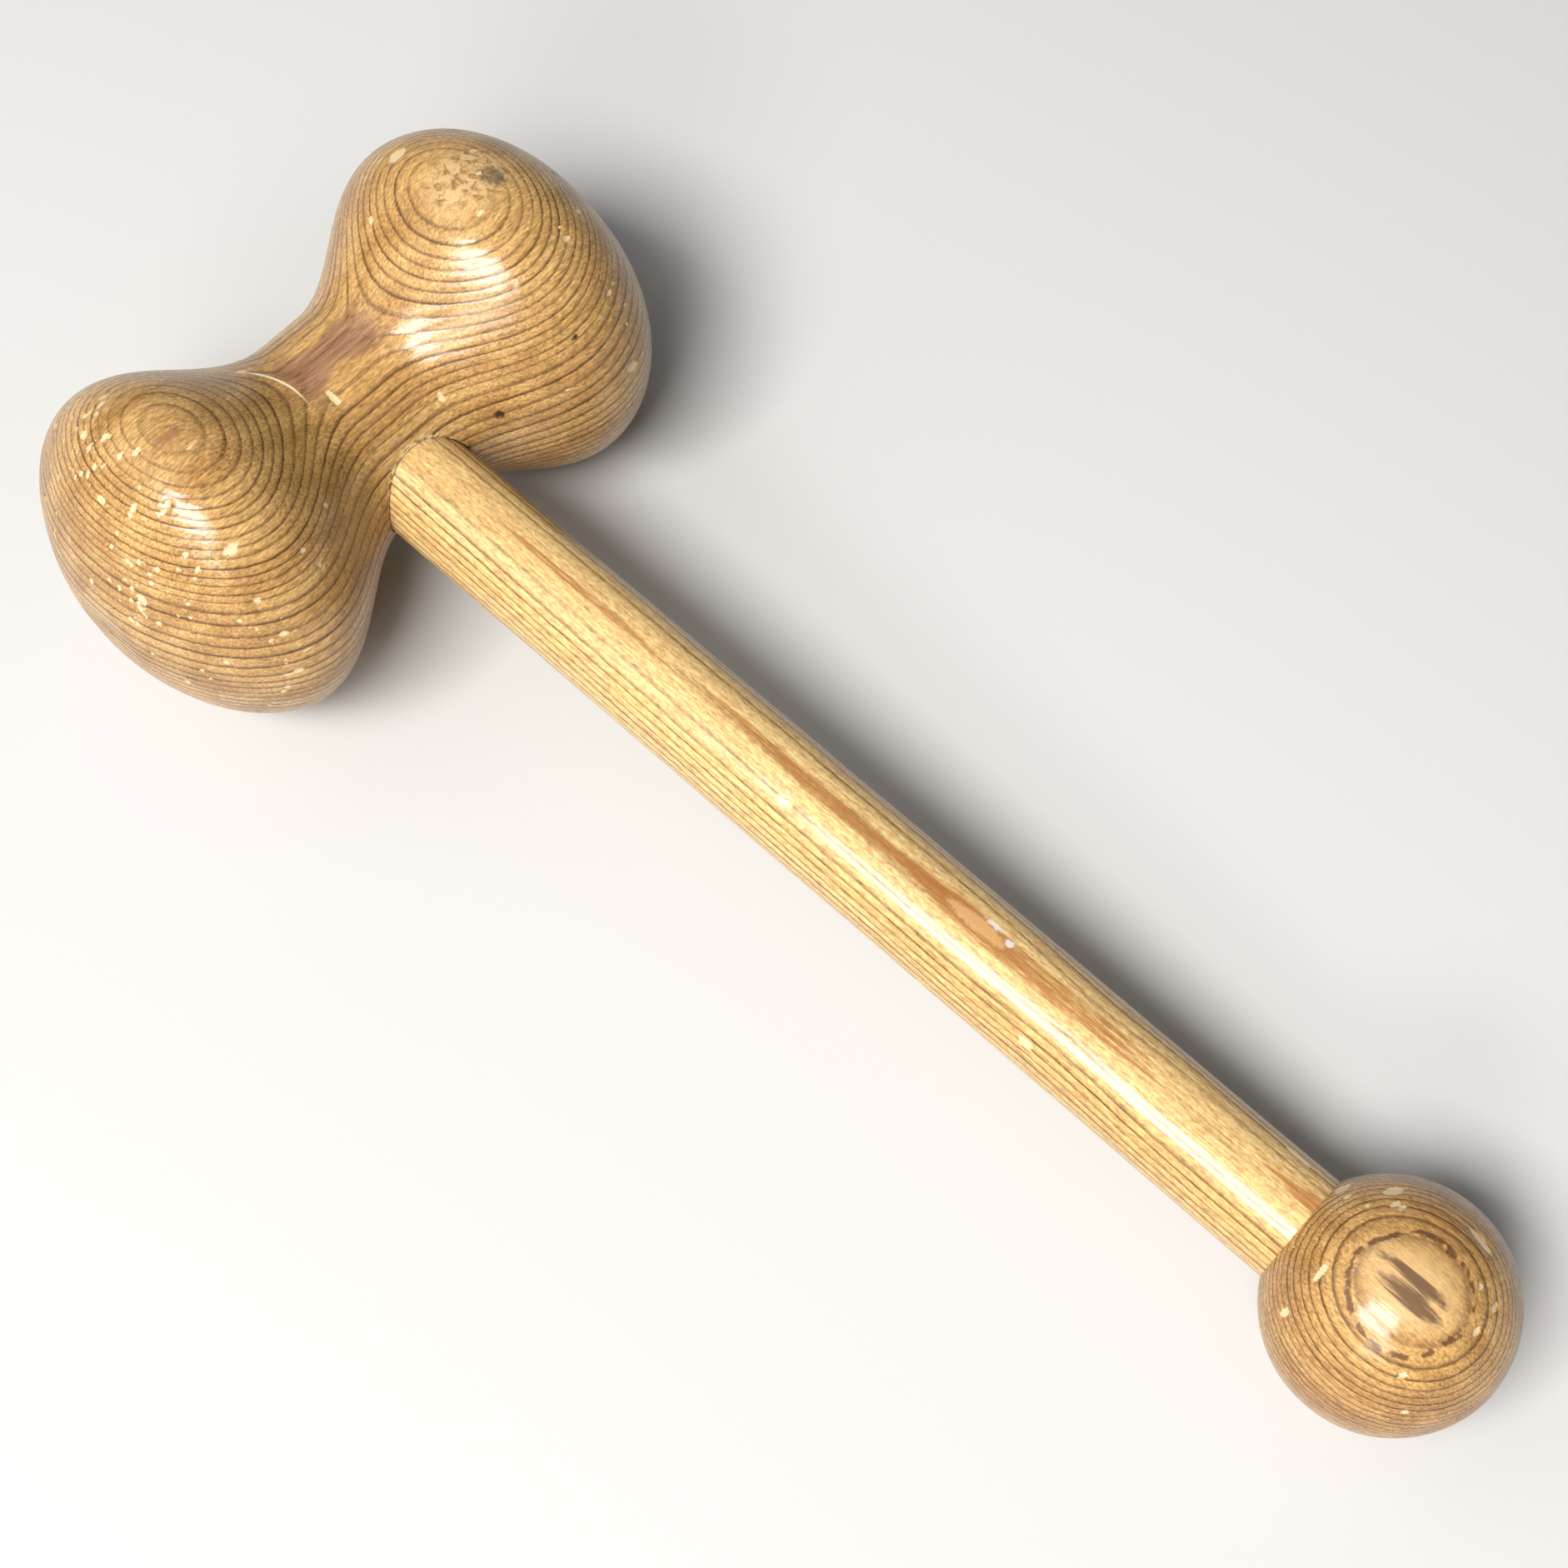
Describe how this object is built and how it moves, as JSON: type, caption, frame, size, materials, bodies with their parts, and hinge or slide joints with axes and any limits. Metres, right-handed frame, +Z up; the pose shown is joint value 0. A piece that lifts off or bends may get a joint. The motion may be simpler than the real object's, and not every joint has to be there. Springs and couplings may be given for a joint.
{
  "type": "wooden mallet",
  "caption": "Turned pine mallet: a dumbbell-shaped head with two domed striking faces, a straight round handle wedged through its waist, and a ball on the handle's end.",
  "frame": {"origin": "on the bench, under the middle of the mallet's bounding box, with the mallet lying on both lobes of its head and on its ball", "axes": "+X along the handle from the head to the ball, level with the bench; +Y along the head's axis from face to face; +Z up from the bench"},
  "size_m": [0.4128, 0.1644, 0.0967],
  "materials": {
    "head_pine": "varnished softwood, tan brown with thin dark grain lines, worn gloss",
    "handle_pine": "varnished softwood, golden yellow with straight grain, polished by hands",
    "ball_pine": "varnished softwood, dark tan with dark rings, worn gloss",
    "head_wedge_beech": "bare sawn beech",
    "pommel_wedge_beech": "bare sawn beech"
  },
  "bodies": {
    "root": {"head": "head_pine", "handle": "handle_pine", "pommel_ball": "ball_pine", "head_wedge": "head_wedge_beech", "pommel_wedge": "pommel_wedge_beech"}
  },
  "joints": []
}
